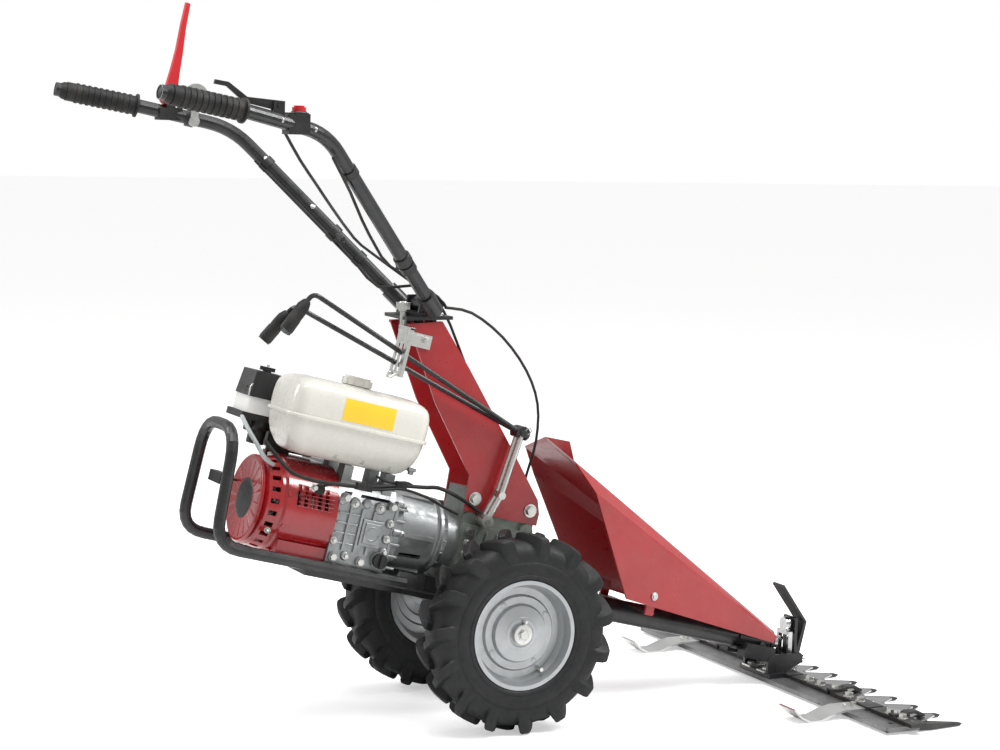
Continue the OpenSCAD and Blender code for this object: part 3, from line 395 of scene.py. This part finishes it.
def tyre(y0, name):
    s = Shape()
    # outside of the section from the right bead to the crown: (across, radius)
    prof = [(-37, 106), (-39.5, 111.6), (-43.5, 112.6), (-46, 116), (-46.6, 121), (-45.6, 122.5),
            (-46.4, 124), (-47.6, 134), (-47.4, 146), (-46.0, 148), (-46.6, 150), (-45.6, 162), (-42.5, 173), (-36, 181),
            (-26, 186), (-12, 188)]
    prof = prof + [(-a, r) for a, r in prof[::-1]]
    inner = [(30, 106), (40, 134), (40, 158), (28, 174), (0, 178), (-28, 174), (-40, 158), (-40, 134),
             (-30, 106)]
    prof = prof + inner + [prof[0]]
    n = 120
    p = []
    for y, r in prof:
        for k in range(n):
            q = 2 * math.pi * k / n
            p.append((r * math.sin(q), y0 + y, -r * math.cos(q)))
    f = [(i * n + k, i * n + (k + 1) % n, (i + 1) * n + (k + 1) % n, (i + 1) * n + k)
         for i in range(len(prof) - 1) for k in range(n)]
    s.add(p, f)
    s.make("tyre_carcass_" + name, TYRE, "axle", 0, 40, ["tyres"])
    # lug: (top y, top r, base y, base r, offset in degrees, half width at the top, at the base)
    rings = [(-4, 199.5, -4, 184, 0.6, 6.5, 10), (2, 202.4, 2, 184, 0.0, 8.0, 12),
             (14, 202.8, 14, 184, -2.2, 8.6, 12.5), (28, 202.6, 28, 183, -5.0, 9.2, 13.5),
             (40, 201.4, 38, 177, -7.6, 10.0, 14.5),
             (46.5, 198.0, 41, 172, -9.0, 10.6, 15.5), (49.4, 190.0, 42, 168, -9.8, 10.6, 15.5),
             (49.8, 178.0, 43.5, 162, -10.4, 10.2, 15.0), (49.2, 166.0, 44.5, 154, -10.8, 8.5, 13.5),
             (46.9, 156.0, 45.2, 150, -11.0, 7.0, 11.5)]
    lugs = Shape()
    for side in (-1, 1):
        for i in range(LUGS):
            centre = 360 / LUGS * (i + (0.5 if side > 0 else 0.0))
            pts = []
            for ty, tr, by, br, off, wt, wb in rings:
                for y, r, w in ((by, br, -wb), (ty, tr, -wt), (ty, tr, wt), (by, br, wb)):
                    q = math.radians(centre + off) + w / max(r, 1.0)
                    pts.append((r * math.sin(q), y0 + side * y, -r * math.cos(q)))
            m = len(rings)
            fs = [(j * 4 + k, j * 4 + (k + 1) % 4, (j + 1) * 4 + (k + 1) % 4, (j + 1) * 4 + k)
                  for j in range(m - 1) for k in range(4)]
            fs += [(0, 1, 2, 3), tuple((m - 1) * 4 + k for k in (3, 2, 1, 0))]
            lugs.add(pts, fs)
    lugs.make("tyre_lugs_" + name, TYRE, "axle", 2.2, 38)


for side, name in ((-1, "right"), (1, "left")):
    tyre(side * TYRE_Y, name)
    out = (0, side, 0)
    hub = Shape()
    hub.turn((0, side * 225, 0), out, [(18.0, 16), (18.4, 20), (19.6, 20), (20, 16)], 32)
    hub.hexagon((0, side * 243, 0), out, 17, 9)
    hub.make("hub_nut_" + name, ZINC, "axle", 0.5)
    ring = Shape()
    ring.turn((0, side * TYRE_Y, 0), out, [(27.0, 24), (29.0, 26), (29.0, 33), (28.0, 35), (26.5, 35)], 64)
    for k in range(4):
        q = math.radians(45 + 90 * k)
        ring.turn((68 * math.sin(q), side * 223.5, 68 * math.cos(q)), out,
                  [(-2, 6), (0.2, 6), (0.6, 5)], 24)
    ring.make("rim_press_" + name, SILVER, "axle", 0.4)

# ---------- fuel tank ----------

tank_lo, tank_hi = hull_box("fuel_tank", BODY)


def tank_ring(z, inset, r, n=14):
    """Level outline with round corners, set in from the tank's box."""
    x0, x1 = tank_lo[0] + inset, tank_hi[0] - inset
    y0, y1 = tank_lo[1] + inset, tank_hi[1] - inset
    p = []
    for cx, cy, q0 in ((x1 - r, y1 - r, 0), (x0 + r, y1 - r, 90),
                       (x0 + r, y0 + r, 180), (x1 - r, y0 + r, 270)):
        for k in range(n):
            q = math.radians(q0 + 90 * k / (n - 1))
            p.append((cx + r * math.cos(q), cy + r * math.sin(q), z))
    return p


# height, inset and corner radius; the seam stands out at 320 to 325
levels = [(246.4, 48, 20), (248, 37, 24), (253, 29, 26), (262, 22, 27), (276, 14, 28), (292, 9, 29),
          (308, 6.5, 30), (318.5, 5.4, 30), (319.2, 0.6, 35), (320.4, 0.1, 35), (324.6, 0.1, 35),
          (325.8, 0.6, 35), (326.6, 5.0, 29), (340, 4.6, 28), (356, 5.0, 27), (370, 6.5, 26),
          (380, 9.0, 26), (387, 13, 26), (392, 19, 26), (396.4, 29, 24), (399.4, 46, 14)]
tank = Shape()
rings = [tank_ring(*l) for l in levels]
m = len(rings[0])
tank.add([q for r in rings for q in r],
         [(i * m + k, i * m + (k + 1) % m, (i + 1) * m + (k + 1) % m, (i + 1) * m + k)
          for i in range(len(rings) - 1) for k in range(m)]
         + [tuple(range(m))[::-1], tuple((len(rings) - 1) * m + k for k in range(m))])
cap_lo, cap_hi = hull_box("fuel_cap", BODY)
cap_x, cap_y = (cap_lo[0] + cap_hi[0]) / 2, (cap_lo[1] + cap_hi[1]) / 2
tank.turn((cap_x, cap_y, 396), (0, 0, 1), [(0, 40), (2.6, 38), (4.4, 30), (5.6, 27)], 48)
tank.make("fuel_tank_shell", CREAM, "chassis", 0, 48, ["fuel_tank"])
label = Shape()
cols, zs = 12, [(332, 4.8), (340, 4.6), (348, 4.8), (356, 5.0), (363, 5.75), (370, 6.5), (376, 8.0)]
pts = []
for z, inset in zs:
    for k in range(cols + 1):
        pts.append((-434 + 112 * k / cols, tank_lo[1] + inset - 0.35, z))
row = cols + 1
label.add(pts, [(i * row + k, i * row + k + 1, (i + 1) * row + k + 1, (i + 1) * row + k)
                for i in range(len(zs) - 1) for k in range(cols)])
label.make("tank_label", YELLOW, "chassis", 0, 60)
straps = Shape()
for x in (-420, -360, -300, -250):
    straps.box((x - 8, -88, 262), (x + 8, -60, 268))
    straps.hexagon((x, -80, 262), (0, 0, -1), 10, 6, 8)
straps.make("tank_feet", CAST, "chassis", 1.2)
ridge = Shape()
ridge.turn((cap_x, cap_y, 415), (0, 0, 1), [(0, 25), (3.6, 24.5), (4.2, 22), (3.0, 20), (3.0, 1)], 48)
ridge.make("cap_dish", CREAM, "fuel_cap", 0, 40)

# ---------- engine ----------

cz = 135.0                        # height of the crankshaft in BODY
disc = Shape()
disc.turn((-553.4, 0, cz), (1, 0, 0), [(0, 34), (0.2, 37), (1.4, 41), (5, 42)], 64)
disc.make("starter_badge", PLASTIC, "chassis", 0, 40)
ribs = Shape()
for k in range(18):
    q = math.radians(20 * k + 10)
    c, s_ = math.cos(q), math.sin(q)
    pts = []
    for x in (-552.4, -546):
        for r, w in ((42, 2.0), (42, -2.0), (79, -3.0), (79, 3.0)):
            pts.append((x, r * s_ + w * c, cz + r * c - w * s_))
    ribs.add(pts, [(0, 1, 2, 3), (7, 6, 5, 4), (0, 4, 5, 1), (1, 5, 6, 2), (2, 6, 7, 3), (3, 7, 4, 0)])
ribs.turn((-552, 0, cz), (1, 0, 0), [(0, 79), (-0.8, 81), (-0.2, 86), (4, 90)], 72)
ribs.make("starter_ribs", RED_DEEP, "chassis", 0.8)
grille = Shape()
for i in range(6):
    grille.box((-478, -98.6, 148 + i * 8), (-402, -94.4, 149.6 + i * 8))
for i in range(4):
    q = math.radians(-60 + 40 * i)
    grille.hexagon((-497, -99 * math.cos(q), cz + 97 * math.sin(q)),
                   (-0.4, -math.cos(q), math.sin(q)), 8, 4)
grille.make("fan_grille", RED_DEEP, "chassis", 0.4)
screws = Shape()
for q in (-150, -30, 90):
    a = math.radians(q)
    screws.hexagon((-520, 93 * math.cos(a), cz + 93 * math.sin(a)), (-0.5, math.cos(a), math.sin(a)), 8, 5, 7)
screws.hexagon((-452, -97.6, 190), (0, -1, 0), 10, 5, 8)
screws.make("fan_screws", ZINC, "chassis", 0.4)

case = Shape()
y = -90.0
for z in (92, 112, 132, 152):
    case.box((-386, y - 4.2, z), (-340, y + 1, z + 3.4))
for x, z, r in ((-356, 176, 11), (-330, 180, 9), (-300, 176, 12), (-272, 150, 9), (-272, 118, 9),
                (-272, 92, 9), (-384, 176, 8), (-384, 96, 8), (-352, 70, 9)):
    case.turn((x, y + 4, z), (0, -1, 0), [(0, r + 1.5), (7, r), (9, r - 1), (9.6, r - 3)], 28)
case.box((-332, y - 8, 96), (-286, y + 1, 150))
case.box((-326, y - 11, 102), (-292, y - 7, 144))
case.turn((-309, y - 8, 123), (0, -1, 0), [(0, 16), (4, 15), (4.4, 12), (2, 11), (2, 1)], 36)
case.box((-266, y - 2, 56), (-258, 60, 196))
for z in (60, 84, 108, 132, 156, 180):
    case.box((-262, y - 3, z), (-240, y + 22, z + 5))
case.make("crankcase_ribs", CAST, "chassis", 1.4)
bell = Shape()
for k in range(10):
    q = math.radians(18 + 36 * k)
    bell.turn((-262, 88 * math.sin(q), cz + 88 * math.cos(q)), (1, 0, 0), [(0, 9), (16, 8), (18, 6)], 24)
for k in range(16):
    q = math.radians(22.5 * k)
    c, s_ = math.cos(q), math.sin(q)
    pts = [(x, r * s_ + w * c, cz + r * c - w * s_)
           for x, r in ((-238, 66), (-238, 84), (-128, 60), (-128, 66)) for w in (-2, 2)]
    bell.add(pts, BOX_FACES)
bell.turn((-152, 0, cz), (1, 0, 0), [(0, 74), (2, 79), (10, 79), (12, 72)], 64)
bell.make("clutch_housing_ribs", CAST, "chassis", 1.0)
bolts = Shape()
for k in range(10):
    q = math.radians(18 + 36 * k)
    bolts.hexagon((-244.5, 88 * math.sin(q), cz + 88 * math.cos(q)), (1, 0, 0), 10, 7, 8)
for x, z in ((-356, 176), (-300, 176), (-272, 150), (-272, 118), (-272, 92), (-384, 96), (-352, 70)):
    bolts.hexagon((x, y - 5.4, z), (0, -1, 0), 9, 6, 7)
for x in (-84, 61):
    for z in (40, 64, 120, 144):
        bolts.hexagon((x, -69, z), (0, -1, 0), 10, 6, 7.5)
for a in range(45, 360, 90):
    q = math.radians(a)
    bolts.hexagon((91.4, 38 * math.sin(q), 60 + 38 * math.cos(q)), (1, 0, 0), 13, 8, 9)
bolts.make("engine_bolts", ZINC, "chassis", 0.5)
boxribs = Shape()
for x in (-70, -45, -20, 5, 30, 50):
    boxribs.box((x, -69.5, 84), (x + 4, -65, 172))
boxribs.box((-80, -70, 76), (64, -65, 80))
boxribs.turn((0, -66, 0), (0, -1, 0), [(-1, 52), (5, 48), (7, 40), (8, 32)], 64)
for z in (196, 206, 216, 226, 236):
    boxribs.box((-97, -44, z), (-92, 44, z + 4))
boxribs.make("gearbox_ribs", GEARBOX, "chassis", 1.4)

# leads, hose and their clips
leads = Shape()
leads.tube(spline([(-555, -40, 257), (-540, -70, 238), (-510, -96, 212), (-470, -106, 205), (-428, -112, 206),
                   (-354, -110, 213), (-277, -102, 229), (-220, -94, 236), (-175, -80, 240), (-110, -66, 225),
                   (-60, -62, 205)]), 4.2, 10)
leads.tube(spline([(-441, -101, 192), (-436, -110, 200), (-420, -112, 206)]), 3.2, 10)
leads.tube(spline([(-354, -108, 208), (-320, -112, 214), (-270, -106, 224), (-210, -92, 218),
                   (-160, -80, 205), (-120, -70, 196)]), 3.0, 10)
leads.tube(spline([(-330, -100, 238), (-300, -102, 232), (-262, -98, 238), (-238, -90, 232)]),
           3.0, 10)
leads.turn((-441, -96, 189), (0, -1, 0), [(0, 11), (5, 11), (7, 9), (8, 5)], 28)
leads.box((-372, -117, 205), (-338, -103, 219))
leads.box((-286, -108, 224), (-262, -97, 238))
leads.make("engine_leads", RUBBER, "chassis", 0.8)
hose = Shape()
hose.tube(spline([(-590, 20, 290), (-586, -20, 270), (-575, -52, 248), (-556, -60, 226),
                  (-530, -52, 214)]), 4.4, 12)
hose.make("breather_hose", HOSE, "chassis", 0)
intake = Shape()
ac_lo, ac_hi = hull_box("air_cleaner_cover", BODY)
for z in (338, 346):
    intake.box((ac_lo[0] - 0.2, 92, z), (ac_lo[0] + 3, 136, z + 4))
intake.box((-500, 76, 214), (-450, 86, 284))
intake.turn((-470, 80, 262), (0, -1, 0), [(0, 18), (10, 18), (13, 14)], 32)
intake.turn((-520, 98, 286), (0, 0, -1), [(0, 26), (12, 26), (20, 18), (48, 18)], 36)
intake.turn((-548, 84, 286), (0, 0, -1), [(0, 9), (22, 9), (24, 6)], 24)
intake.make("intake_parts", PLASTIC, "chassis", 1.2)
stud = Shape()
stud.cyl((-524, 114, ac_hi[2] - 6), (-524, 114, ac_hi[2] + 6), 3)
stud.tube([(-568, 68, 330), (-569, 66, 350), (-566, 66, 356)], 1.8, 8)
stud.make("air_cleaner_stud", ZINC, "chassis", 0.3)

# ---------- column and handlebar ----------

lock = Shape(LEVEL)
lock.cyl((-183, -30, 772), (-183, -30, 834), 6)
lock.turn((-183, -30, 834), (0, 0, 1), [(0, 9), (16, 9), (20, 7)], 28)
lock.turn((-183, -30, 782), (0, 0, 1), [(0, 6.2), (1, 8.4), (18, 8.4), (19, 6.2)], 28)
lock.box((-194, -41, 838), (-172, -19, 852))
lock.make("head_lock_rod", ZINC, "chassis", 0.8)
teeth = Shape(LEVEL)
for k in range(7):
    q = math.radians(-62 + 10 * k)
    cx, cy = -135 + 47 * math.cos(q), 47 * math.sin(q)
    teeth.box((cx - 2.6, cy - 2.6, 818), (cx + 2.6, cy + 2.6, 824.6))
teeth.make("head_teeth", ZINC, "chassis", 0.4)
gate = Shape()
gate.box((-338.5, -112, 440), (-331, -108, 540))
gate.box((-338.5, -112, 536), (-331, -50, 541))
gate.box((-330, -54.6, 512), (-262, -50.2, 530))
for x in (-316, -276):
    gate.hexagon((x, -54.6, 521), (0, -1, 0), 10, 5, 8)
gate.tube([(-340, -96, 446), (-346, -90, 436), (-346, -70, 436), (-340, -62, 446)], 2.5, 8)
gate.make("gate_edges", ZINC, "chassis", 0.8)

for side, body in ((-1, "selector_right"), (1, "selector_left")):
    yb = -84 if side < 0 else -65.5
    knob = Shape()
    knob.turn((-28, yb + 9.0, 386), (0, -1, 0), [(-0.6, 8), (0, 10), (2.4, 10), (3, 8)], 24)
    knob.turn((-28, yb - 9.0, 386), (0, -1, 0), [(0, 6), (1, 8), (3, 8), (4, 5)], 24)
    knob.make(body + "_ball", PLASTIC, body, 0.4)
    pin = Shape()
    pin.tube([(-28, yb - 11.4, 390), (-26, yb - 11.6, 396), (-20, yb - 11.6, 401), (-14, yb - 11.6, 396),
              (-18, yb - 11.6, 388), (-28, yb - 11.4, 386)], 1.1, 6)
    pin.make(body + "_clip", ZINC, body, 0)

for name in ("gear_rod_right", "gear_rod_left"):
    bend = Vector((-548, -84, 560)) if name.endswith("right") else Vector((-572, -65, 528))
    low = Vector((-592, -98, 474)) if name.endswith("right") else Vector((-612, -51, 446))
    d = low - bend
    top = bend + d * 0.33
    reach = (low - top).length
    g = Shape()
    g.turn(top - d.normalized() * 12, d,
           [(0, 7), (3, 9), (14, 12.8), (reach * 0.45, 13.2), (reach * 0.62, 12.8),
            (reach * 0.70, 13.6), (reach + 6, 13.8), (reach + 10, 12.4), (reach + 12, 8)], 36)
    g.make(name + "_knob", RUBBER, name, 0, 40)

# Corners of the left tube's middle line, level frame; the right tube is its mirror image
tube_start, tube_bend = Vector((-142, 80, 846)), Vector((-448, 259, 1189))
grip_start = Vector((-626, 315, 1228))
tube_end = Vector((-797, 334, 1259))
down = (tube_start - tube_bend).normalized()
arm = (grip_start - tube_bend).normalized()


def flip(v, side):
    """The left point for side 1, the right one for side -1."""
    return Vector((v[0], v[1] * side, v[2]))


hardware = Shape(LEVEL)
for side in (-1, 1):
    for s in (96, 232):
        p = tube_bend + down * s
        n = Vector((0.25, -0.93, 0.0))
        n = (n - down * n.dot(down)).normalized()
        p, n = flip(p, side), flip(n, side)
        hardware.turn(p + n * 13.6, n, [(-0.4, 5.4), (1.2, 5.2), (2.4, 3.0)], 24)
    for s in (30, 110):
        p = tube_bend + arm * s
        n = Vector((0.3, -0.95, 0.0))
        n = (n - arm * n.dot(arm)).normalized()
        hardware.turn(flip(p, side) + flip(n, -side) * 13.6, flip(n, -side),
                      [(-0.4, 5.4), (1.2, 5.2), (2.4, 3.0)], 24)
hardware.make("handlebar_screws", ZINC, "handlebar", 0.3)
clips = Shape(LEVEL)
for side, s in ((-1, 350), (1, 300)):
    a = flip(tube_bend + down * (s - 9), side)
    b = flip(tube_bend + down * (s + 9), side)
    clips.cyl(a, b, 17.4, 36)
    mid = (a + b) / 2
    clips.cyl(mid + Vector((0, side * -16, -4)), mid + Vector((6, side * -34, -12)), 7, 24)
    clips.cyl(mid + Vector((10, side * -20, -14)), mid + Vector((4, side * -36, -20)), 5, 20)
clips.make("cable_clips", PLASTIC, "handlebar", 1.0)
ends = Shape(LEVEL)
gd = (tube_end - grip_start).normalized()
for side in (-1, 1):
    e = flip(tube_end, side)
    d = flip(gd, side)
    ends.turn(e - d * 22, d, [(0, 15.4), (1, 17.6), (6, 17.4), (14, 13.0), (20, 11.5), (21.6, 9)], 32)
ends.make("grip_ends", RUBBER, "handlebar", 0, 40)

rocker = Shape(LEVEL)
sw = flip(tube_bend + arm * 71, -1)
rocker.box(sw + Vector((-21, -16.5, 22)), sw + Vector((17, 16.5, 24)))
rocker.turn(sw + Vector((3, 0, 22)), (0, 0, 1), [(0, 16), (3.5, 15), (5, 13.6)], 36)
rocker.make("switch_collar", PLASTIC, "handlebar", 1.2)

# ---------- hood ----------

trim = Shape()
for side in (-1, 1):
    trim.hexagon((359, side * 106.2, 116), (0.24, side * 0.96, 0.12), 12, 3, 9)
trim.make("hood_bolts", ZINC, "chassis", 0.4)
tab = Shape()
tab.add([(74, 0, 388.6), (84, -84, 392.5), (89, -112, 357.5), (76, 0, 386.8), (86, -84, 390.5),
         (91, -111, 355.5)],
        [(0, 1, 2), (3, 5, 4), (0, 3, 4, 1), (1, 4, 5, 2), (2, 5, 3, 0)])
tab.make("hood_flange", RED, "chassis", 0.3)
nose = Shape()
nose.box((640, -30, 34), (736, 30, 40))
nose.cyl((700, -40, 52), (700, 40, 52), 7)
nose.make("nose_bracket", BLACK, "chassis", 1.0)

# ---------- cutter bar ----------

FINGERS = 76.2                    # pitch of the fingers and knife sections
wear = Shape(LEVEL)
for i in range(-3, 4):
    for d in (-22, 22):
        wear.turn((756, 2 * FINGERS * i + d, 24.1), (0, 0, 1), [(0, 11.2), (0.4, 11.6), (1.6, 11.2)], 28)
wear.make("guard_washers", ZINC, "cutter_bar", 0.2)
rivets = Shape(LEVEL)
for i in range(-6, 7):
    for d in (-11, 11):
        rivets.turn((793, FINGERS * i + d, 19.3), (0, 0, 1), [(0, 5.0), (1.4, 4.4), (2.4, 2.4)], 20)
rivets.make("knife_rivets", STEEL, "knife", 0)
serr = Shape(LEVEL)
for i in range(-6, 7):
    for sgn in (-1, 1):
        for k in range(9):
            u = (k + 0.5) / 9
            x = 802 + 44 * u
            w = 36.6 - 29.8 * u
            y = FINGERS * i + sgn * w
            serr.box((x - 1.0, y - (3.0 if sgn > 0 else 0), 19.3),
                     (x + 1.0, y + (3.0 if sgn < 0 else 0), 19.7))
serr.make("knife_serrations", STEEL, "knife", 0)
heads = Shape(LEVEL)
for i in (-6, -3, 3, 6):
    for d in (-6.5, 6.5):
        heads.turn((776, FINGERS * i + d, 29.4), (0.55, 0, 0.84), [(-1, 3.4), (1.6, 3.0), (2.2, 1.6)], 20)
heads.make("clip_dimples", BLACK_BAR, "cutter_bar", 0.2)
clamp = Shape(LEVEL)
clamp.box((694, -46, 26), (736, -14, 30))
clamp.box((694, 14, 26), (736, 46, 30))
clamp.cyl((787.5, -46, 52), (796, -46, 52), 6)
clamp.hexagon((791, -40, 52), (1, 0, 0), 12, 7, 9)
clamp.hexagon((791, 40, 52), (1, 0, 0), 12, 7, 9)
clamp.hexagon((791, 0, 122), (1, 0, 0), 17, 8, 11)
clamp.make("bracket_bolts", ZINC, "cutter_bar", 0.5)

# ---------- cables between the handlebar and the column ----------

def bridge(name, points):
    """Short cable length that bends across one joint."""
    s = Shape(LEVEL)
    s.tube(spline(points, 6), 3.0, 10)
    o = s.mesh(name, RUBBER, 0, 32)
    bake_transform(o)


crossings = (((-110, -2, 866), (-80, -8, 838)), ((-110, -16, 866), (-80, -8, 838)),
             ((-110, 14, 866), (-80, 12, 838)))
for i, (upper, lower) in enumerate(crossings):
    upper, lower = Vector(upper), Vector(lower)
    mid = upper.lerp(lower, 0.5) + Vector((2, 0, 2))
    bridge("cable_bridge_a%d" % i,
           [upper - Vector((4, 0, -3)), upper.lerp(mid, 0.5) + Vector((1, 0, 1)), mid])
    bridge("cable_bridge_b%d" % i,
           [mid, mid.lerp(lower, 0.5) + Vector((2, 0, 1)), lower + Vector((3, 0, -1))])

# ---------- floor, light and camera ----------

bpy.ops.mesh.primitive_plane_add(size=60, location=(0, 0, 0))
floor = bpy.context.object
floor.name = "floor"
paper = surface("pale_floor", (0.88, 0.88, 0.88), 0.55, vary=0.01, spread=0.05, bump=0.02)
# the floor shows lighter to the camera than it lights the machine
shader = paper.node_tree.nodes["Principled BSDF"]
direct = paper.node_tree.nodes.new("ShaderNodeLightPath")
glow = remap(paper.node_tree, direct.outputs["Is Camera Ray"], 0.0, 1.0, 0.0, 0.46)
shader.inputs["Emission Color"].default_value = (1.0, 1.0, 1.0, 1)
paper.node_tree.links.new(glow, shader.inputs["Emission Strength"])
floor.data.materials.append(paper)

world = bpy.data.worlds.new("studio")
bpy.context.scene.world = world
world.use_nodes = True
# a grey surround lights the machine, and the camera sees white behind it
bg = world.node_tree.nodes["Background"]
bg.inputs[0].default_value = (1.0, 1.0, 1.0, 1)
bg.inputs[1].default_value = 0.55
seen = world.node_tree.nodes.new("ShaderNodeBackground")
seen.inputs[0].default_value = (1.0, 1.0, 1.0, 1)
pick = world.node_tree.nodes.new("ShaderNodeMixShader")
path = world.node_tree.nodes.new("ShaderNodeLightPath")
surround = world.node_tree.nodes["World Output"]
world.node_tree.links.new(path.outputs["Is Camera Ray"], pick.inputs[0])
world.node_tree.links.new(bg.outputs[0], pick.inputs[1])
world.node_tree.links.new(seen.outputs[0], pick.inputs[2])
world.node_tree.links.new(pick.outputs[0], surround.inputs[0])
bpy.context.scene.view_settings.view_transform = "Standard"


def area(name, at, to, size, watts):
    """Square soft light at one point, facing another."""
    d = bpy.data.lights.new(name, "AREA")
    d.shape = "RECTANGLE"
    d.size, d.size_y = size, size
    d.energy = watts
    o = bpy.data.objects.new(name, d)
    o.location = at
    o.rotation_euler = (Vector(to) - Vector(at)).to_track_quat("-Z", "Y").to_euler()
    bpy.context.scene.collection.objects.link(o)


area("key", (2.6, -1.6, 3.6), (0.1, 0, 0.4), 1.6, 150)
area("top", (-0.6, -0.6, 4.2), (0, 0, 0.4), 2.6, 130)
area("back", (-3.0, 2.2, 2.4), (0, 0, 0.6), 1.6, 60)

cam = bpy.data.cameras.new("camera")
eye = bpy.data.objects.new("camera", cam)
bpy.context.scene.collection.objects.link(eye)
cam.sensor_width = 36
cam.lens = 88.76
cam.clip_end = 100
# right, up and forward of the camera, and its place from the ground under the axle
right = Vector((0.89880, -0.43756, 0.02647))
up = Vector((0.02500, 0.11144, 0.99346))
ahead = Vector((0.43765, 0.89226, -0.11110))
look = Matrix((right, up, -ahead)).transposed().to_4x4()
eye.matrix_world = Matrix.Translation((-2.1773 + SHIFT, -4.5456, 1.2617)) @ look
bpy.context.scene.camera = eye
